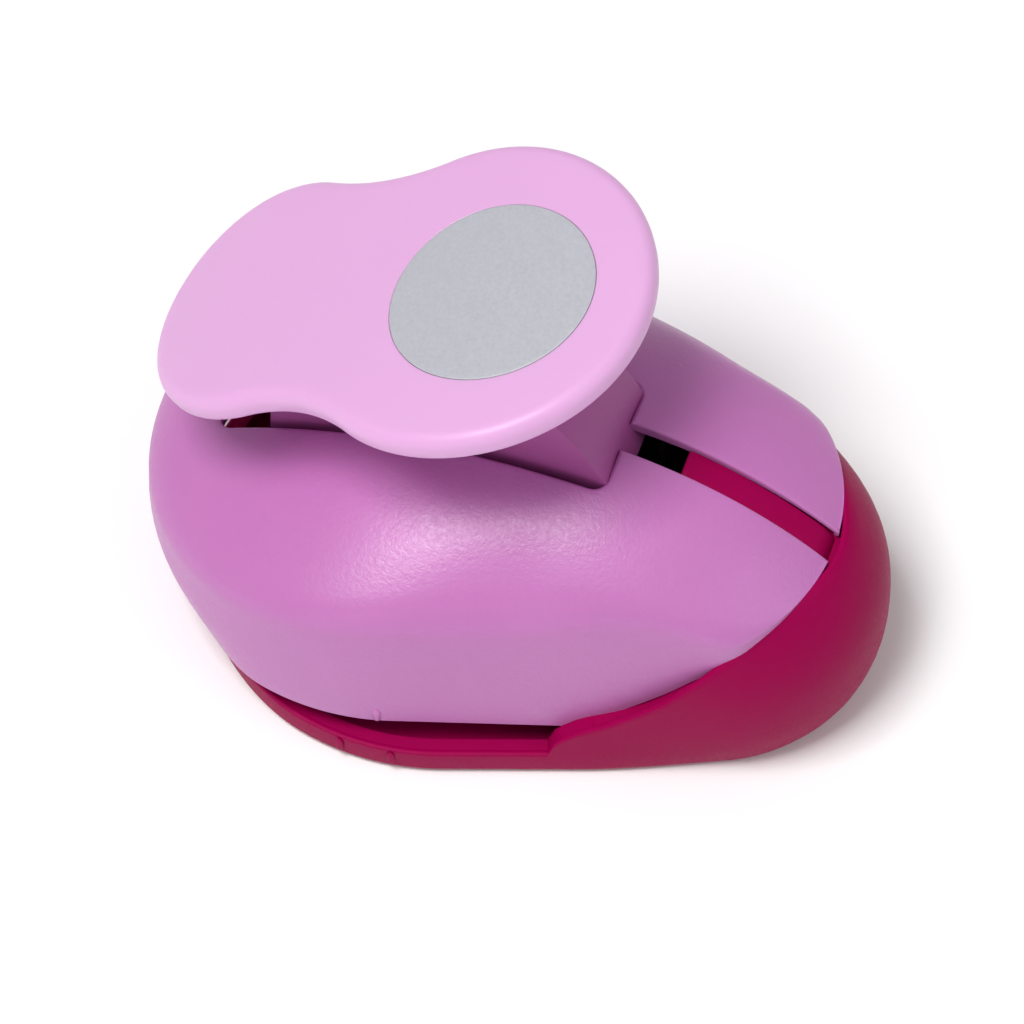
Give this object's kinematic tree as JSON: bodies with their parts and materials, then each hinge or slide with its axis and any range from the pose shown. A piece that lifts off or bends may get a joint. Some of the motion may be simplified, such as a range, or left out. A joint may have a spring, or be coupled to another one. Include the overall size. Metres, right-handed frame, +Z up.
{
  "type": "corner rounder",
  "caption": "Hand-held lever punch with an egg-shaped housing, a round-lobed press plate and a V-fenced die that rounds the corners of paper and card.",
  "frame": {"origin": "centre of the outline, on the surface that the base rests on", "axes": "+X to the pointed end of the housing, -X to the blunt end where the sheet goes in, +Z up, Y across"},
  "size_m": [0.075, 0.0516, 0.0541],
  "materials": {
    "lilac_shell": "satin with fine spark texture",
    "magenta_base": "semi-gloss",
    "pink_plate": "smooth satin",
    "silver_label": "matt, fine grain",
    "cast_frame": "as cast",
    "tool_steel": "ground",
    "bright_steel": "plated",
    "holder_nylon": "moulded nylon"
  },
  "bodies": {
    "housing": {"base_shell": "magenta_base", "upper_shell": "lilac_shell", "slot_rib": "magenta_base", "guide_frame": "cast_frame", "die_plate": "tool_steel", "corner_fence": "bright_steel", "pivot_pin": "bright_steel", "pin_clips": "bright_steel", "spring_post_left": "bright_steel", "spring_post_right": "bright_steel", "return_spring_left": "bright_steel", "return_spring_right": "bright_steel", "frame_screws": "bright_steel", "base_screws": "bright_steel", "case_screws": "bright_steel"},
    "lever": {"lever_stem": "lilac_shell", "lever_plate": "pink_plate", "label_disc": "silver_label", "cam_pin": "tool_steel", "plate_screws": "bright_steel"},
    "punch": {"punch_blade": "tool_steel", "punch_holder": "holder_nylon", "holder_screws": "bright_steel"}
  },
  "joints": [
    {"name": "lever_press", "type": "hinge", "parent": "housing", "child": "lever", "pos_m": [-0.02, 0, 0.0165], "axis": [0, 1, 0], "range_deg": [0, 20], "stiffness_Nm_per_rad": 0.6, "springref_deg": -14.32},
    {"name": "punch_slide", "type": "slide", "parent": "housing", "child": "punch", "axis": [0, 0, -1], "range_m": [0, 0.0052], "stiffness_N_per_m": 0.005, "springref_m": -13.7326, "deforming": ["return_spring_left", "return_spring_right"]}
  ],
  "couplings": [
    {"joint": "punch_slide", "follows": "lever_press", "m_per_rad": 0.013929}
  ]
}
